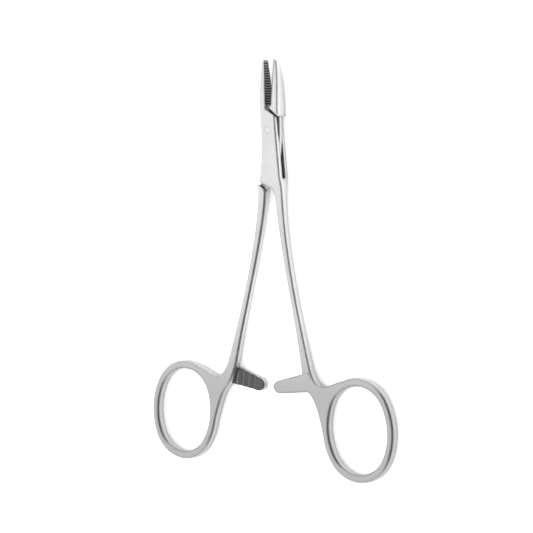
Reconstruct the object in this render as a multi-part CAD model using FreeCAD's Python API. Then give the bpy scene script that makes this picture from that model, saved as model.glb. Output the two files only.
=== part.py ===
"""Needle holder with a box lock: two forged halves that cross at a riveted pin.

Millimetres. +Z is up through the thickness, +Y runs from the pin to the jaws, +X to the right.
The origin is on the pin's axis, in the plane of the box's back face, on which the tool lies.

Each half is drawn as it lies when the tool is closed, about a middle plane at z = 0. The half with
the box has its jaw on the left and its handle on the right, and the half with the tongue is the
other way round. Both are then swung open about the pin and lifted onto the box's back face.
"""

import FreeCAD, Part
import math
import os

# Whole tool
jaw_tip_y = 22.2
rest_opening = 9.0
handle_lean = 1.8
handle_shift = 0.5

# Box and tongue
box_thickness = 4.8
box_half_width = 2.85
box_offset = 0.25
box_top_y = 4.1
box_flare = 2.7
box_flare_y = -15.8
box_flat_top_y = 2.4
box_flat_end_y = -15.0
throat_y = 6.3
shoulder_y = -19.0
crotch_y = -20.0
tongue_thickness = 1.5
tongue_clearance = 0.03
tongue_stand_out = 0.4
tongue_belly = 0.4
shoulder_gap = 0.6
slot_end_y = -15.5

# Pin
pin_diameter = 2.2
pin_running_clearance = 0.04
pin_edge_break = 0.06

# Jaws
jaw_nose_width = 1.95
jaw_nose_length = 6.3
jaw_tip_thickness = 2.0
jaw_swell = 0.35
jaw_edge_radius = 0.45
tooth_pitch = 0.79
tooth_depth = 0.3
tooth_count = 18
tip_land = 0.5
jaw_meeting_clearance = 0.035
box_jaw_relief = 0.2
tongue_jaw_relief = 0.7

# Shanks
shank_top_width = 3.1
shank_foot_width = 3.5
shank_thickness = 2.7
shank_half_gap = 0.16
shank_outer_radius = 0.6
shank_inner_radius = 0.9
shank_waist = 0.85
shank_bow = 3.4
neck_length = 13.0

# Finger rings
ring_x = 26.65
ring_y = -94.25
ring_half_width = 11.87
ring_half_length = 14.92
ring_end_roundness = 0.927
ring_bar_width = 2.7
ring_thickness = 3.4
ring_edge_radius = 1.05
ring_overlap = 0.1
saddle_facing = 112
web_facing = 185

# Ratchet
ratchet_tip_x = -3.9
ratchet_width = 4.1
ratchet_rise = 13.2
ratchet_slant = 2.55
ratchet_pitch = 2.3
ratchet_teeth = 3
ratchet_depth = 0.6
ratchet_first_x = 0.1
ratchet_clearance = 0.04

V = FreeCAD.Vector
UP = V(0, 0, 1)


def head(side, *points):
    """Plan points of the jaws and the box, mirrored in X where side is -1."""
    return [V(side * x, y, 0) for x, y in points]


def handle(side, *points):
    """Plan points of a handle, whose middle line leans from the jaws' line and passes beside the pin."""
    lean = FreeCAD.Rotation(UP, -handle_lean)
    return [lean.multVec(V(side * x, y, 0)) + V(handle_shift, 0, 0) for x, y in points]


def bezier(poles):
    """A smooth edge that leaves and arrives along its end poles."""
    curve = Part.BezierCurve()
    curve.setPoles(poles)
    return curve.toShape()


def through(points):
    """A smooth edge through plan points."""
    spline = Part.BSplineCurve()
    spline.interpolate(points)
    return spline.toShape()


def straight(points):
    """Straight edges from point to point."""
    return [Part.LineSegment(a, b).toShape() for a, b in zip(points, points[1:])]


def prism(edges, low, high):
    """The solid over a closed plan outline between two heights."""
    face = Part.Face(Part.Wire(Part.__sortEdges__(edges)))
    face.translate(UP * low)
    return face.extrude(UP * (high - low))


def rim_edges(shape, outline):
    """The edges of a solid that run above or below the given plan edges."""
    found = []
    for edge in shape.Edges:
        middle = edge.valueAt((edge.FirstParameter + edge.LastParameter) / 2)
        if abs(edge.tangentAt(edge.FirstParameter).z) > 0.9:
            continue
        foot = Part.Vertex(V(middle.x, middle.y, 0))
        if min(foot.distToShape(plan)[0] for plan in outline) < 0.001:
            found.append(edge)
    return found


def side_profile():
    """A block whose thickness along Y is that of jaws, box, shanks and rings."""
    box = box_thickness / 2
    tip = jaw_tip_thickness / 2
    shank = shank_thickness / 2
    ring = ring_thickness / 2
    wide = ring_x + 2 * ring_half_length
    past_tip = jaw_tip_y + jaw_nose_width
    past_ring = ring_y - 2 * ring_half_length
    neck_y = box_flat_end_y - neck_length
    foot_y = shank_foot()[1]
    ring_top_y = ring_y + ring_half_length
    edges = []
    jaws = [(past_tip, tip), (jaw_tip_y - jaw_nose_length, tip + jaw_swell),
            (2 * box_top_y - box_flat_top_y + jaw_nose_length, box), (box_flat_top_y, box)]
    neck = [(box_flat_end_y, box), (box_flat_end_y - 0.06 * neck_length, box),
            (box_flat_end_y - 0.2 * neck_length, shank), (neck_y, shank)]
    shanks = [(neck_y, shank), ((2 * neck_y + foot_y) / 3, shank), (foot_y, shank), (ring_top_y, ring)]
    for side in (1, -1):
        for curve in (jaws, neck, shanks):
            edges.append(bezier([V(-wide, y, side * h) for y, h in curve]))
        for line in ((jaws[-1], neck[0]), (shanks[-1], (past_ring, ring))):
            edges += straight([V(-wide, y, side * h) for y, h in line])
    for y, h in ((past_tip, tip), (past_ring, ring)):
        edges += straight([V(-wide, y, -h), V(-wide, y, h)])
    return Part.Face(Part.Wire(Part.__sortEdges__(edges))).extrude(V(2 * wide, 0, 0))


def ring_arcs():
    """Centres and radii of the arcs that make the finger ring's centre-line: end, side and their join."""
    end = ring_end_roundness * ring_half_width
    rise = ring_half_length - end
    side = (end ** 2 - ring_half_width ** 2 - rise ** 2) / (2 * (end - ring_half_width))
    return end, rise, side, side - ring_half_width


def ring_point(facing, offset=0.0):
    """A point beside the ring's centre-line, by the direction it faces in degrees from +X."""
    end, rise, side, inset = ring_arcs()
    a = math.radians(facing)
    if abs(math.sin(a)) * inset > abs(math.cos(a)) * rise:
        radius, x, y = end, 0, math.copysign(rise, math.sin(a))
    else:
        radius, x, y = side, math.copysign(inset, -math.cos(a)), 0
    radius += offset
    return (ring_x + x + radius * math.cos(a), ring_y + y + radius * math.sin(a))


def by_ring(across, up):
    """A handle point placed from the ring's centre, in half widths and half lengths of the ring."""
    return (ring_x + across * ring_half_width, ring_y + up * ring_half_length)


def ring_outline(offset, side):
    """A closed oval of four arcs at a distance from the ring's centre-line."""
    end, rise, radius, inset = ring_arcs()
    join = math.degrees(math.atan2(rise, inset))
    stops = [join, 90, 180 - join, 180, 180 + join, 270, 360 - join, 360, 360 + join]
    points = handle(side, *[ring_point(stop, offset) for stop in stops])
    return [Part.Arc(*points[k:k + 3]).toShape() for k in range(0, 8, 2)]


def finger_ring(side):
    """The ring: an oval band with rounded edges."""
    outer = prism(ring_outline(ring_bar_width / 2, side), -ring_thickness / 2, ring_thickness / 2)
    inner = prism(ring_outline(-ring_bar_width / 2, side), -ring_thickness, ring_thickness)
    ring = outer.cut(inner)
    rims = [e for e in ring.Edges if e.BoundBox.ZLength < 0.001]
    return ring.makeFillet(ring_edge_radius, rims)


def shank_top():
    """The outer and the inner corner at the top of a shank."""
    return (shank_half_gap + shank_top_width, shoulder_y), (shank_half_gap, crotch_y)


def shank_foot():
    """The foot of a shank's outer edge, where the saddle down to the ring begins."""
    return by_ring(-1.415, 1.36)


def shank_outer(side):
    """The handle's outer edge: shank, then the saddle where it meets the ring."""
    top = shank_top()[0]
    foot = shank_foot()
    drop = (shoulder_y - foot[1]) * 0.3
    shank = handle(side, top, (top[0] - shank_waist, shoulder_y - drop),
                   (foot[0] - shank_bow, foot[1] + drop), foot)
    end = ring_point(saddle_facing, ring_bar_width / 2 - ring_overlap)
    saddle = handle(side, foot, by_ring(-1.226, 0.607), by_ring(-0.775, 0.995), end)
    return [bezier(shank), bezier(saddle)]


def shank_inner(side):
    """The handle's inner edge: shank, then behind the ratchet arm and down to the ring."""
    foot = (shank_foot()[0] - shank_foot_width, by_ring(0, 1.44)[1])
    drop = (crotch_y - foot[1]) * 0.3
    shank = handle(side, shank_top()[1], (0.3 * shank_half_gap, crotch_y - drop),
                   (foot[0] - shank_bow / 2, foot[1] + drop), foot)
    bend = by_ring(-1.445, 0.72)
    step = [shank[3], shank[3] + (shank[3] - shank[2]) * 0.23, *handle(side, by_ring(-1.605, 0.888), bend)]
    web = handle(side, bend, by_ring(-1.226, 0.493), by_ring(-1.184, 0.184),
                 ring_point(web_facing, ring_bar_width / 2 - ring_overlap))
    return [bezier(shank), bezier(step), bezier(web)]


def web_end(side):
    """The hidden end of the handle's web, inside the ring's bar."""
    count = 5
    facings = [web_facing + (saddle_facing - web_facing) * k / count for k in range(count + 1)]
    ends = [ring_point(facing, ring_bar_width / 2 - ring_overlap) for facing in (web_facing, saddle_facing)]
    return straight(handle(side, ends[0], *[ring_point(facing) for facing in facings], ends[1]))


def jaw_point(side, width, y):
    """A point of a jaw, by its distance from the gripping line, which falls back towards the heel."""
    relief = box_jaw_relief if side < 0 else tongue_jaw_relief
    back = relief * (jaw_tip_y - y) / (jaw_tip_y - throat_y)
    return V(side * (width + back), y, 0)


def jaw_tip(side):
    """The outer end of a jaw's flat tip."""
    return jaw_point(side, 0.15 * jaw_nose_width, jaw_tip_y)


def jaw_side(side, end_x, end_y):
    """The outer edge of a jaw: the rounded nose, then the side down to the given end."""
    nose_y = jaw_tip_y - jaw_nose_length
    nose = [
        jaw_tip(side),
        jaw_point(side, 0.66 * jaw_nose_width, jaw_tip_y),
        jaw_point(side, 0.72 * jaw_nose_width, jaw_tip_y - 0.35 * jaw_nose_length),
        jaw_point(side, jaw_nose_width, nose_y),
    ]
    lower = [nose[3], nose[3] + (nose[3] - nose[2]) * 0.4]
    lower += head(side, (end_x, end_y + 0.24 * jaw_nose_length), (end_x, end_y))
    return [bezier(nose), bezier(lower)]


def grip_line(side, heel_point):
    """The toothed gripping edge of a jaw, from its heel point up to the flat land and the tip."""
    length = tooth_pitch * tooth_count
    heel = jaw_tip_y - tip_land - length
    points = [heel_point]
    for k in range(2 * tooth_count + 1):
        crest = tooth_depth / 2 if k % 2 else -tooth_depth / 2
        points.append(jaw_point(side, jaw_meeting_clearance + side * crest, heel + k * tooth_pitch / 2))
    land_width = jaw_meeting_clearance - side * tooth_depth / 2
    points.append(jaw_point(side, land_width, jaw_tip_y - 0.7 * tip_land))
    points.append(jaw_tip(side))
    return straight(points)


def pin_hole(radius):
    """A cutter along the pin's axis."""
    return Part.makeCylinder(radius, 2 * box_thickness, V(0, 0, -box_thickness))


def ratchet_arm(side, face):
    """The ratchet arm of one handle. face is +1 in the front half of the thickness, -1 in the back."""
    middle = ring_y + ratchet_rise
    half = ratchet_width / 2
    nose_x = ratchet_tip_x + half
    round_x = ratchet_tip_x - half / 3
    base_x = by_ring(-1.44, 0)[0]
    nose = [(nose_x, middle + half), (round_x, middle + 0.75 * half),
            (round_x, middle - 0.75 * half), (nose_x, middle - half)]
    base = [nose[3], (base_x - 0.3 * half, middle - 0.7 * half), (base_x + half, middle - 1.45 * half),
            (base_x, middle + half + ratchet_slant), nose[0]]
    outline = [bezier(head(side, *nose)), *straight(head(side, *base))]
    arm = prism(outline, ratchet_clearance, ring_thickness / 2)
    for k in range(ratchet_teeth):
        root = side * (ratchet_first_x + k * ratchet_pitch)
        crest = root + side * ratchet_pitch
        below = ratchet_clearance - ratchet_depth
        profile = [V(root, 0, below), V(root, 0, ratchet_clearance + ratchet_depth),
                   V(crest, 0, ratchet_clearance), V(crest, 0, below)]
        notch = Part.Face(Part.makePolygon(profile + profile[:1])).extrude(V(0, 2 * ring_half_length, 0))
        notch.translate(V(0, ring_y, 0))
        arm = arm.cut(notch)
    if face < 0:
        arm = arm.mirror(V(0, 0, 0), UP)
    arm.rotate(V(0, 0, 0), UP, -handle_lean)
    arm.translate(V(handle_shift, 0, 0))
    return arm


def by_box(across, up):
    """A point of the box, in half widths, and in the heights of the throat above and the shoulder below."""
    return (across * box_half_width, up * (throat_y if up > 0 else -shoulder_y))


def throat():
    """The corner of the box behind the jaws, where the slot leaves its top."""
    return by_box(-0.088, 1)


def box_right():
    """How far the box's right side lies from the pin."""
    return box_half_width + box_offset


def tongue_left_edge():
    """The tongue's edge on the side of its handle, from the throat down to the shoulder."""
    return head(1, by_box(0.035, 1.055), by_box(-0.456, 0.7), by_box(-0.772, 0.286), by_box(-0.877, -0.053),
                by_box(-0.877, -0.21), by_box(-0.737, -0.421), by_box(-0.667, -0.632), by_box(-0.737, -0.8),
                by_box(-1.0, -0.926))


def tongue_right_edge():
    """The tongue's edge on the side of its jaw, which stands proud of the box when closed."""
    out = box_right() + tongue_stand_out
    belly = [(out + 0.5 * tongue_belly, by_box(0, -0.21)[1]), (out + tongue_belly, by_box(0, -0.421)[1]),
             (out + 0.75 * tongue_belly, by_box(0, -0.589)[1])]
    return head(1, by_box(1.05, 0.89), (out, 0), *belly, by_box(1.123, -0.716), by_box(0.667, -0.842),
                by_box(0.21, -0.947), by_box(-0.105, -1.032))


def slot_region():
    """Plan of the slot through the box: open to the right above, to the left below."""
    far = 3 * box_half_width
    slot_end = slot_end_y / -shoulder_y
    upper = head(1, throat(), by_box(-0.526, 0.73), by_box(-0.86, 0.349), by_box(-0.965, 0.19),
                 by_box(-1.158, 0.127))
    lower = head(1, by_box(1.263, slot_end), by_box(1.088, slot_end - 0.008), by_box(0.456, -0.942),
                 by_box(0.105, -1.032), by_box(-0.035, -1.105))
    left = [upper[-1], V(-far, upper[-1].y, 0), V(-far, lower[-1].y, 0), lower[-1]]
    right = [lower[0], V(far, lower[0].y, 0), V(far, far, 0), V(0.3, far, 0), upper[0]]
    return [through(upper), through(lower), *straight(left), *straight(right)]


def box_half():
    """The half with the box: left jaw, two walls with the slot between them, right handle."""
    left_x = box_half_width - box_offset
    top, crotch = handle(1, *shank_top())
    flare = (-left_x - box_flare, box_flare_y)
    left = bezier(head(1, (-left_x, box_top_y), (-left_x, 0.19 * box_flare_y),
                       (-left_x - 0.37 * box_flare, 0.85 * box_flare_y), flare))
    right = bezier([top, top + V(0.17, 2.5, 0), *head(1, (box_right() - 0.12, 0.4 * box_flare_y),
                                                      (box_right(), box_top_y))])
    lower = straight([*head(1, flare, by_box(-0.98, -0.9), by_box(-0.21, -0.979)), crotch])
    outer = shank_outer(1)
    inner = shank_inner(1)
    nose = jaw_side(-1, left_x, box_top_y)
    wall_top = head(1, (box_right(), box_top_y), throat())
    body = prism([left, right, *lower, *nose, *outer, *inner, *web_end(1), *straight(wall_top),
                  *grip_line(-1, wall_top[-1])], -box_thickness, box_thickness)
    body = body.common(side_profile())
    body = body.makeFillet(jaw_edge_radius, rim_edges(body, [left, *nose]))
    body = body.makeFillet(shank_outer_radius, rim_edges(body, [right, *outer]))
    body = body.makeFillet(shank_inner_radius, rim_edges(body, inner))
    slot = tongue_thickness / 2 + tongue_clearance
    body = body.cut(prism(slot_region(), -slot, slot))
    body = body.fuse([finger_ring(1), ratchet_arm(1, 1)])
    return body.cut(pin_hole(pin_diameter / 2))


def tongue_half():
    """The half with the tongue: right jaw, thin tongue through the box, left handle."""
    slope = (throat_y - box_top_y) / (box_right() - throat()[0])
    heel = V(throat()[0] + 0.2, throat_y + shoulder_gap, 0)
    end_x = box_right() + tongue_stand_out
    end_y = box_top_y + shoulder_gap - slope * tongue_stand_out
    nose = jaw_side(1, end_x, end_y)
    shoulder = straight([V(end_x, end_y, 0), heel])
    jaw = prism([*nose, *shoulder, *grip_line(1, heel)], -box_thickness, box_thickness)
    jaw = jaw.common(side_profile())
    jaw = jaw.makeFillet(jaw_edge_radius, rim_edges(jaw, nose))

    outer = shank_outer(-1)
    inner = shank_inner(-1)
    top, crotch = handle(-1, *shank_top())
    step = head(-1, by_box(1.1, -0.918), by_box(0.456, -0.968), by_box(0.175, -1.008))
    neck = straight([top, *step, crotch])
    grip = prism([*outer, *inner, *neck, *web_end(-1)], -box_thickness, box_thickness)
    grip = grip.common(side_profile())
    grip = grip.makeFillet(shank_outer_radius, rim_edges(grip, outer))
    grip = grip.makeFillet(shank_inner_radius, rim_edges(grip, inner))

    left = tongue_left_edge()
    right = tongue_right_edge()
    upper_end = straight([left[0], *head(1, by_box(0.105, 1.19), by_box(0.91, 1.19)), right[0]])
    lower_end = straight([left[-1], *head(1, by_box(-0.95, -1.053), by_box(-0.14, -1.105)), right[-1]])
    thin = tongue_thickness / 2
    tongue = prism([through(left), through(right), *upper_end, *lower_end], -thin, thin)
    body = tongue.fuse([jaw, grip, finger_ring(-1), ratchet_arm(-1, -1)])
    return body.cut(pin_hole(pin_diameter / 2 + pin_running_clearance))


def pivot_pin():
    """The rivet: ground flush with the box at both ends, with its edges just broken."""
    pin = Part.makeCylinder(pin_diameter / 2, box_thickness, V(0, 0, -box_thickness / 2))
    rims = [e for e in pin.Edges if e.Closed]
    return pin.makeChamfer(pin_edge_break, rims)


def place(shape, swing):
    """A half swung open about the pin and lifted so that the box's back face is at z = 0."""
    placed = shape.copy()
    placed.rotate(V(0, 0, 0), UP, swing)
    placed.translate(UP * (box_thickness / 2))
    return placed


def main():
    os.makedirs("parts", exist_ok=True)
    nodes = {
        "box_half": place(box_half(), rest_opening / 2),
        "tongue_half": place(tongue_half(), -rest_opening / 2),
        "pivot_pin": place(pivot_pin(), rest_opening / 2),
    }
    for name, shape in nodes.items():
        solid = shape.Solids[0]
        print(name, len(shape.Solids), solid.isValid(), round(solid.Volume, 2))
        solid.exportStep(f"parts/{name}.step")


main()
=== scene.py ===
import math
import bpy
from mathutils import Matrix, Vector

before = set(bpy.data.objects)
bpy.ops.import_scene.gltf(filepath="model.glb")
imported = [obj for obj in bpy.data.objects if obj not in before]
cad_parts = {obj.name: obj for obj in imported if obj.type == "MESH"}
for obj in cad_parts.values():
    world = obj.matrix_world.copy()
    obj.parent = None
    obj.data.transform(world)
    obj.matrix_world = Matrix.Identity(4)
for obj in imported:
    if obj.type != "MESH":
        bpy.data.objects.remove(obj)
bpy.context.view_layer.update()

# Camera: place and axes in the tool's frame, clipping in metres, lens in millimetres
CAMERA_PLACE = Vector((0.3503, -0.0083, 0.4868))
CAMERA_RIGHT = Vector((0.8084, -0.0155, -0.5884))
CAMERA_UP = Vector((-0.0216, 0.9982, -0.0560))
CAMERA_LENS = 128.1
SENSOR_WIDTH = 36.0
CLIP_NEAR, CLIP_FAR = 0.01, 20.0

# Colours of the finish, from the jaws to the rings, and of the painted shade and highlights
STEEL_BOX = (0.88, 0.88, 0.88, 1.0)
STEEL_SHANK = (0.76, 0.76, 0.76, 1.0)
STEEL_RING = (0.56, 0.555, 0.55, 1.0)
PIN_STEEL = (0.88, 0.88, 0.88, 1.0)
GRAIN_TINT = (0.50, 0.50, 0.50, 1.0)
CLOUD_TINT = (0.60, 0.60, 0.60, 1.0)
# painted shade, put into the base colour where crevices are deep
CREVICE_PAINTED_SHADE = (0.03, 0.03, 0.03, 1.0)
MILLED = (0.10, 0.096, 0.094, 1.0)
# painted highlight along the edges of the ratchet's steps
MILLED_EDGE_HIGHLIGHT = (0.30, 0.295, 0.29, 1.0)
# painted shade in the jaws' serration valleys, lighter towards their crests
TEETH_VALLEY_SHADE = (0.02, 0.02, 0.02, 1.0)
TEETH_CREST_SHADE = (0.60, 0.60, 0.60, 1.0)
WHITE = (1, 1, 1, 1)

# How much of each tint and of each painted shade the steel takes
GRAIN_SHARE = 0.10
CLOUD_SHARE = 0.22
TEETH_SHARE = 0.92
MILLED_SHARE = 0.88
CREVICE_SHADE_SHARE = 0.95

# Where the steel changes along the tool (metres, from the box towards the rings)
TO_SHANK = (-0.014, -0.032)
TO_RING = (-0.060, -0.082)
TO_DULL = (-0.060, -0.085)

# Noise: scale and detail, and the grain's stretch along the tool
GRAIN_NOISE = (2600, 4)
FINE_NOISE = (9000, 2)
CLOUD_NOISE = (120, 4)
GRAIN_STRETCH = (1.0, 0.10, 1.0)

# Roughness, and what is added to it
GRAIN_ROUGH = (0.14, 0.23)
CLOUD_ROUGH = (-0.02, 0.03)
RING_ROUGH = 0.14
MILLED_ROUGH = 0.15

# Relief: the bump and the softened edges, and the reach and range of the painted shade in
# crevices (metres)
BUMP_STRENGTH = 0.10
BUMP_DISTANCE = 0.00002
FINE_BUMP = 0.4
SHADING_SAMPLES = 6
EDGE_CROWN = 0.0012
FLUSH_RADIUS = 0.0016
FLUSH_FADE = 0.0006
# painted crevice shade: how far the occlusion looks, and the occlusion range over which it
# darkens
CREVICE_SHADE_REACH = 0.0018
CREVICE_SHADE_RANGE = (0.36, 0.80)

# Jaws at rest: half the opening in degrees, and places and depths in metres
REST_SWING = 4.5
JAW_TIP_Y = 0.0222
JAW_HEEL_Y = 0.0079
THROAT_Y = 0.0063
RELIEF = {"box_half": 0.0002, "tongue_half": 0.0007}
SIDE = {"box_half": -1, "tongue_half": 1}
HEEL_FADE = 0.0003
TEETH_DEPTH = (0.00017, 0.00026)
CREST_DEPTH = (-0.00015, 0.00004)

# Ratchet: the handles' lean in degrees and their shift, the first step, pitch and reach of the
# teeth in metres, and where the painted highlight on a step's edge fades, as shares of the pitch
HANDLE_LEAN = 1.8
HANDLE_SHIFT = 0.0005
RATCHET_FIRST = 0.0001
RATCHET_PITCH = 0.0023
RATCHET_REACH = 0.0072
RATCHET_START = (0.0004, 0.0006)
RATCHET_FADE = 0.0002
EDGE_HIGHLIGHT_PHASE = (0.04, 0.18)

# Milled face of the ratchet: where it starts along the tool, the middle plane that it lies on
# (metres), and how much of its normal has to point away from that plane
RATCHET_Y = (-0.062, -0.060)
MIDDLE_Z = 0.0024
LAYER_EDGE = 0.00004
TILT_LOW, TILT_HIGH = 0.15, 0.3

# Floor and surround: sizes in metres, and how bright each is for the camera, metal and light
FLOOR_HALF = 3.0
FLOOR_COLOUR = (0.86, 0.86, 0.86, 1.0)
FLOOR_ROUGH = 0.9
FLOOR_LIFT = 0.50
FLOOR_GLOSSY = 0.22
WORLD_LIGHT = 0.75
CLEARANCE = 0.0002

# Cards: direction, distance, width, height, glow at the foot and at the top, and the share of
# the half height where the top's glow starts
CARDS = {
    "dark_card": ((0.743, 0.0, 0.669), 1.4, 3.6, 2.35, 0.50, 0.005, 0.0),
    "grey_card": ((-0.62, 0.0, 0.78), 1.6, 1.6, 3.2, 0.94, 0.94, 1.0),
    "left_wall": ((-0.95, 0.0, 0.30), 2.2, 4.0, 1.3, 0.55, 0.55, 1.0),
    "far_wall": ((0.0, 0.95, 0.30), 2.2, 4.0, 1.3, 0.55, 0.55, 1.0),
    "near_wall": ((0.0, -0.95, 0.30), 2.2, 4.0, 1.3, 0.55, 0.55, 1.0),
}

# Lamps: place and watts, and the size and target that they share
LAMPS = {
    "key_lamp": ((-0.7, 0.3, 1.2), 9),
    "fill_lamp": ((0.8, -0.6, 1.0), 5),
}
LAMP_SIZE = 0.9
LAMP_TARGET = (0, -0.04, 0)


def new_material(name):
    """A node material, its node tree and its shader."""
    material = bpy.data.materials.new(name)
    material.use_nodes = True
    tree = material.node_tree
    return material, tree, tree.nodes["Principled BSDF"]


def feed(tree, socket, value):
    """Links a socket to another one, or sets it to a number, a colour or a vector."""
    if isinstance(value, bpy.types.NodeSocket):
        tree.links.new(value, socket)
    else:
        socket.default_value = value


def maths(tree, operation, *values):
    """One sum on numbers, each a socket or a number."""
    node = tree.nodes.new("ShaderNodeMath")
    node.operation = operation
    for socket, value in zip(node.inputs, values):
        feed(tree, socket, value)
    return node.outputs[0]


def vector_maths(tree, operation, *values):
    """One sum on vectors, each a socket or a vector; gives back the node's outputs."""
    node = tree.nodes.new("ShaderNodeVectorMath")
    node.operation = operation
    for socket, value in zip(node.inputs, values):
        feed(tree, socket, value)
    return node.outputs


def along(tree, place, direction):
    """How far a place lies along a direction."""
    return vector_maths(tree, "DOT_PRODUCT", place, direction)["Value"]


def spread(tree, value, low, high, from_low=0.3, from_high=0.7):
    """A value spread over a range."""
    ramp = tree.nodes.new("ShaderNodeMapRange")
    ramp.inputs["From Min"].default_value = from_low
    ramp.inputs["From Max"].default_value = from_high
    ramp.inputs["To Min"].default_value = low
    ramp.inputs["To Max"].default_value = high
    tree.links.new(value, ramp.inputs["Value"])
    return ramp.outputs["Result"]


def mix(tree, kind, factor, first, second):
    """Two values mixed by a factor; the kind is Color or Vector."""
    node = tree.nodes.new("ShaderNodeMix")
    node.data_type = {"Color": "RGBA", "Vector": "VECTOR"}[kind]
    tree.links.new(factor, node.inputs["Factor"])
    sockets = {i.identifier: i for i in node.inputs}
    feed(tree, sockets["A_" + kind], first)
    feed(tree, sockets["B_" + kind], second)
    return [o for o in node.outputs if o.identifier == "Result_" + kind][0]


def blend(tree, factor, first, second):
    """Two colours mixed by a factor; each is a socket or a colour."""
    return mix(tree, "Color", factor, first, second)


def noise(tree, vector, scale, detail, stretch=(1, 1, 1)):
    """A noise texture on stretched object coordinates."""
    mapping = tree.nodes.new("ShaderNodeMapping")
    mapping.inputs["Scale"].default_value = stretch
    tree.links.new(vector, mapping.inputs["Vector"])
    texture = tree.nodes.new("ShaderNodeTexNoise")
    texture.inputs["Scale"].default_value = scale
    texture.inputs["Detail"].default_value = detail
    tree.links.new(mapping.outputs["Vector"], texture.inputs["Vector"])
    return texture.outputs["Fac"]


def edge_crown(tree, place, teeth):
    """The normal softened towards the edges, but plain on the teeth and round the flush rivet."""
    crown = tree.nodes.new("ShaderNodeBevel")
    crown.samples = SHADING_SAMPLES
    crown.inputs["Radius"].default_value = EDGE_CROWN
    flat = vector_maths(tree, "MULTIPLY", place, (1, 1, 0))["Vector"]
    from_pin = vector_maths(tree, "LENGTH", flat)["Value"]
    away = spread(tree, from_pin, 0.0, 1.0, FLUSH_RADIUS, FLUSH_RADIUS + FLUSH_FADE)
    off_teeth = maths(tree, "SUBTRACT", 1.0, teeth)
    plain = tree.nodes.new("ShaderNodeNewGeometry").outputs["Normal"]
    softened = maths(tree, "MULTIPLY", away, off_teeth)
    return mix(tree, "Vector", softened, plain, crown.outputs["Normal"])


def tooth_zone(tree, place, name):
    """Where a jaw's serrations are, one there and none elsewhere, and how near their crests."""
    side = SIDE[name]
    turn = Matrix.Rotation(math.radians(-side * REST_SWING), 3, "Z")
    tip = turn @ Vector((0, JAW_TIP_Y, 0))
    heel = turn @ Vector((side * RELIEF[name], THROAT_Y, 0))
    run = (tip - heel).normalized()
    inward = Vector((run.y, -run.x, 0)) * side
    depth = maths(tree, "SUBTRACT", along(tree, place, inward), inward.dot(tip))
    near = spread(tree, depth, 1.0, 0.0, *TEETH_DEPTH)
    ahead = spread(tree, along(tree, place, run), 0.0, 1.0, JAW_HEEL_Y - HEEL_FADE, JAW_HEEL_Y)
    crest = spread(tree, depth, 1.0, 0.0, *CREST_DEPTH)
    return maths(tree, "MULTIPLY", near, ahead), crest


def ratchet_zone(tree, place, name):
    """One on the toothed face of the ratchet arm, none elsewhere."""
    normal = tree.nodes.new("ShaderNodeNewGeometry").outputs["True Normal"]
    tilt = along(tree, normal, (0, 0, 1))
    level = along(tree, place, (0, 0, 1))
    if SIDE[name] > 0:
        faces = spread(tree, tilt, 0.0, 1.0, TILT_LOW, TILT_HIGH)
        layer = spread(tree, level, 1.0, 0.0, MIDDLE_Z, MIDDLE_Z + LAYER_EDGE)
    else:
        faces = spread(tree, tilt, 1.0, 0.0, -TILT_HIGH, -TILT_LOW)
        layer = spread(tree, level, 0.0, 1.0, MIDDLE_Z - LAYER_EDGE, MIDDLE_Z)
    below = spread(tree, along(tree, place, (0, 1, 0)), 1.0, 0.0, *RATCHET_Y)
    return maths(tree, "MULTIPLY", maths(tree, "MULTIPLY", faces, layer), below)


def ratchet_edge_highlights(tree, place, name):
    """One along the edges of the ratchet's steps, where a highlight is painted, none elsewhere.
    """
    side = SIDE[name]
    turn = Matrix.Rotation(math.radians(-side * REST_SWING - HANDLE_LEAN), 3, "Z")
    reach = along(tree, place, turn @ Vector((side, 0, 0)))
    reach = maths(tree, "SUBTRACT", reach, side * HANDLE_SHIFT - RATCHET_FIRST)
    phase = maths(tree, "FRACT", maths(tree, "DIVIDE", reach, RATCHET_PITCH))
    crest = spread(tree, phase, 1.0, 0.0, *EDGE_HIGHLIGHT_PHASE)
    ahead = spread(tree, reach, 1.0, 0.0, *RATCHET_START)
    behind = spread(tree, reach, 0.0, 1.0, -RATCHET_REACH, -RATCHET_REACH + RATCHET_FADE)
    return maths(tree, "MULTIPLY", crest, maths(tree, "MULTIPLY", ahead, behind))


def new_steel(name):
    """A metal material with its object coordinates and its grain along the tool."""
    material, tree, shader = new_material(name)
    shader.inputs["Metallic"].default_value = 1.0
    place = tree.nodes.new("ShaderNodeTexCoord").outputs["Object"]
    return material, tree, shader, place, noise(tree, place, *GRAIN_NOISE, GRAIN_STRETCH)


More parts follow.
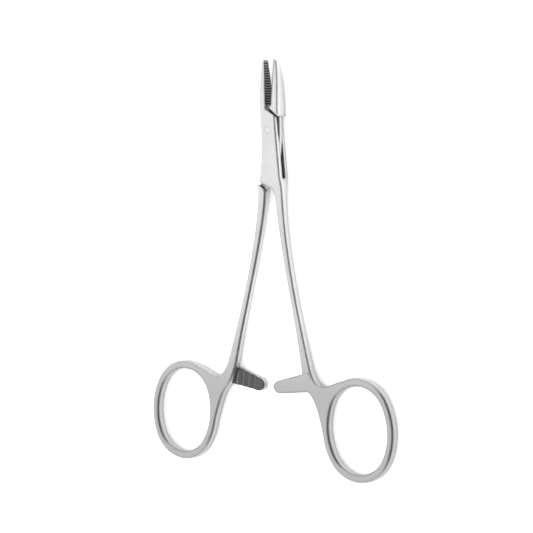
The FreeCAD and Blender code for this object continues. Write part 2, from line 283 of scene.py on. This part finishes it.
def satin_steel(name):
    """Satin stainless steel: a fine grain along the tool, duller rings, dark milled teeth with
    painted highlights on the ratchet's step edges, and painted shade in the jaws' serration
    valleys and in crevices.
    """
    material, tree, shader, place, grain = new_steel("satin_steel_" + name)
    fine = noise(tree, place, *FINE_NOISE)
    cloud = noise(tree, place, *CLOUD_NOISE)
    height = along(tree, place, (0, 1, 0))
    teeth, crest = tooth_zone(tree, place, name)
    milled = ratchet_zone(tree, place, name)

    colour = blend(tree, spread(tree, height, 0.0, 1.0, *TO_SHANK), STEEL_BOX, STEEL_SHANK)
    colour = blend(tree, spread(tree, height, 0.0, 1.0, *TO_RING), colour, STEEL_RING)
    colour = blend(tree, spread(tree, cloud, CLOUD_SHARE, 0.0), colour, CLOUD_TINT)
    colour = blend(tree, spread(tree, grain, GRAIN_SHARE, 0.0), colour, GRAIN_TINT)
    # Painted shade in the serration valleys, lighter towards the crests
    teeth_shade = blend(tree, crest, TEETH_VALLEY_SHADE, TEETH_CREST_SHADE)
    colour = blend(tree, maths(tree, "MULTIPLY", teeth, TEETH_SHARE), colour, teeth_shade)
    # Painted highlights along the edges of the ratchet's steps, on the dark milled face
    milled_colour = blend(tree, ratchet_edge_highlights(tree, place, name), MILLED, MILLED_EDGE_HIGHLIGHT)
    colour = blend(tree, maths(tree, "MULTIPLY", milled, MILLED_SHARE), colour, milled_colour)

    # Painted shade: the base colour darkens in crevices, where the ambient occlusion is low
    hollow = tree.nodes.new("ShaderNodeAmbientOcclusion")
    hollow.samples = SHADING_SAMPLES
    hollow.inputs["Distance"].default_value = CREVICE_SHADE_REACH
    shade = spread(tree, hollow.outputs["AO"], CREVICE_SHADE_SHARE, 0.0, *CREVICE_SHADE_RANGE)
    feed(tree, shader.inputs["Base Color"], blend(tree, shade, colour, CREVICE_PAINTED_SHADE))

    rough = spread(tree, grain, *GRAIN_ROUGH)
    for extra in (spread(tree, height, 0.0, RING_ROUGH, *TO_DULL),
                  spread(tree, cloud, *CLOUD_ROUGH),
                  maths(tree, "MULTIPLY", milled, MILLED_ROUGH)):
        rough = maths(tree, "ADD", rough, extra)
    feed(tree, shader.inputs["Roughness"], rough)

    bump = tree.nodes.new("ShaderNodeBump")
    bump.inputs["Strength"].default_value = BUMP_STRENGTH
    bump.inputs["Distance"].default_value = BUMP_DISTANCE
    relief = maths(tree, "ADD", grain, maths(tree, "MULTIPLY", fine, FINE_BUMP))
    feed(tree, bump.inputs["Height"], relief)
    feed(tree, bump.inputs["Normal"], edge_crown(tree, place, teeth))
    feed(tree, shader.inputs["Normal"], bump.outputs["Normal"])
    return material


def pin_steel():
    """The rivet's steel, ground flush with the box, with the grain of the halves."""
    material, tree, shader, place, grain = new_steel("pin_steel")
    colour = blend(tree, spread(tree, grain, GRAIN_SHARE, 0.0), PIN_STEEL, GRAIN_TINT)
    feed(tree, shader.inputs["Base Color"], colour)
    feed(tree, shader.inputs["Roughness"], spread(tree, grain, *GRAIN_ROUGH))
    return material


def rectangle(name, half_width, half_height):
    """A flat rectangle about its own middle."""
    mesh = bpy.data.meshes.new(name)
    corners = [(-half_width, -half_height, 0), (half_width, -half_height, 0),
               (half_width, half_height, 0), (-half_width, half_height, 0)]
    mesh.from_pydata(corners, [], [(0, 1, 2, 3)])
    thing = bpy.data.objects.new(name, mesh)
    bpy.context.scene.collection.objects.link(thing)
    return thing


def lay_floor():
    """A pale floor just under the tool, brighter for the camera and a little for the metal."""
    floor = rectangle("floor", FLOOR_HALF, FLOOR_HALF)
    floor.location.z = -CLEARANCE
    material, tree, shader = new_material("floor_paper")
    shader.inputs["Base Color"].default_value = FLOOR_COLOUR
    shader.inputs["Roughness"].default_value = FLOOR_ROUGH
    shader.inputs["Specular IOR Level"].default_value = 0.0
    shader.inputs["Emission Color"].default_value = WHITE
    path = tree.nodes.new("ShaderNodeLightPath").outputs
    to_camera = maths(tree, "MULTIPLY", path["Is Camera Ray"], FLOOR_LIFT)
    to_metal = maths(tree, "MULTIPLY", path["Is Glossy Ray"], FLOOR_GLOSSY)
    feed(tree, shader.inputs["Emission Strength"], maths(tree, "ADD", to_camera, to_metal))
    floor.data.materials.append(material)


def white_surround():
    """A white world, dimmer as a light than where it is seen or mirrored."""
    world = bpy.data.worlds.new("studio")
    bpy.context.scene.world = world
    world.use_nodes = True
    tree = world.node_tree
    path = tree.nodes.new("ShaderNodeLightPath").outputs
    seen = maths(tree, "MAXIMUM", path["Is Camera Ray"], path["Is Glossy Ray"])
    seen = maths(tree, "MAXIMUM", seen, path["Is Transmission Ray"])
    background = tree.nodes["Background"]
    background.inputs["Color"].default_value = WHITE
    feed(tree, background.inputs["Strength"], spread(tree, seen, WORLD_LIGHT, 1.0, 0.0, 1.0))


def aim(thing, direction):
    """Turns a thing so that its front looks along a direction."""
    thing.rotation_mode = "QUATERNION"
    thing.rotation_quaternion = direction.to_track_quat("-Z", "Y")


def lamp(name, place, watts):
    """A soft area lamp that the metal doesn't mirror."""
    data = bpy.data.lights.new(name, "AREA")
    data.shape = "DISK"
    data.size = LAMP_SIZE
    data.energy = watts
    thing = bpy.data.objects.new(name, data)
    thing.location = place
    aim(thing, Vector(LAMP_TARGET) - Vector(place))
    thing.visible_glossy = False
    bpy.context.scene.collection.objects.link(thing)


def card(name, direction, distance, width, height, foot_glow, top_glow, turn):
    """A card beside the tool that only the metal sees."""
    half = height / 2
    sheet = rectangle(name, width / 2, half)
    way = Vector(direction).normalized()
    sheet.location = way * distance
    aim(sheet, way)
    material, tree, _ = new_material(name)
    glow = tree.nodes.new("ShaderNodeEmission")
    glow.inputs["Color"].default_value = WHITE
    up = along(tree, tree.nodes.new("ShaderNodeTexCoord").outputs["Object"], (0, 1, 0))
    feed(tree, glow.inputs["Strength"], spread(tree, up, foot_glow, top_glow, -half, turn * half))
    feed(tree, tree.nodes["Material Output"].inputs["Surface"], glow.outputs[0])
    sheet.data.materials.append(material)
    for ray in ("camera", "diffuse", "transmission", "volume_scatter", "shadow"):
        setattr(sheet, f"visible_{ray}", False)


def camera():
    """The photograph's camera."""
    data = bpy.data.cameras.new("camera")
    data.lens = CAMERA_LENS
    data.sensor_width = SENSOR_WIDTH
    data.clip_start, data.clip_end = CLIP_NEAR, CLIP_FAR
    thing = bpy.data.objects.new("camera", data)
    back = CAMERA_RIGHT.cross(CAMERA_UP).normalized()
    up = back.cross(CAMERA_RIGHT).normalized()
    right = up.cross(back)
    turn = Matrix((right, up, back)).transposed().to_4x4()
    thing.matrix_world = Matrix.Translation(CAMERA_PLACE) @ turn
    bpy.context.scene.collection.objects.link(thing)
    bpy.context.scene.camera = thing


def dress():
    """Gives each piece of the tool its finish."""
    for name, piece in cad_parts.items():
        finish = pin_steel() if name == "pivot_pin" else satin_steel(name)
        slots = piece.data.materials
        if len(slots) == 0:
            slots.append(finish)
        for slot in range(len(slots)):
            slots[slot] = finish


def main():
    bpy.context.scene.view_settings.view_transform = "Standard"
    camera()
    lay_floor()
    white_surround()
    for name, settings in CARDS.items():
        card(name, *settings)
    for name, settings in LAMPS.items():
        lamp(name, *settings)
    dress()


main()
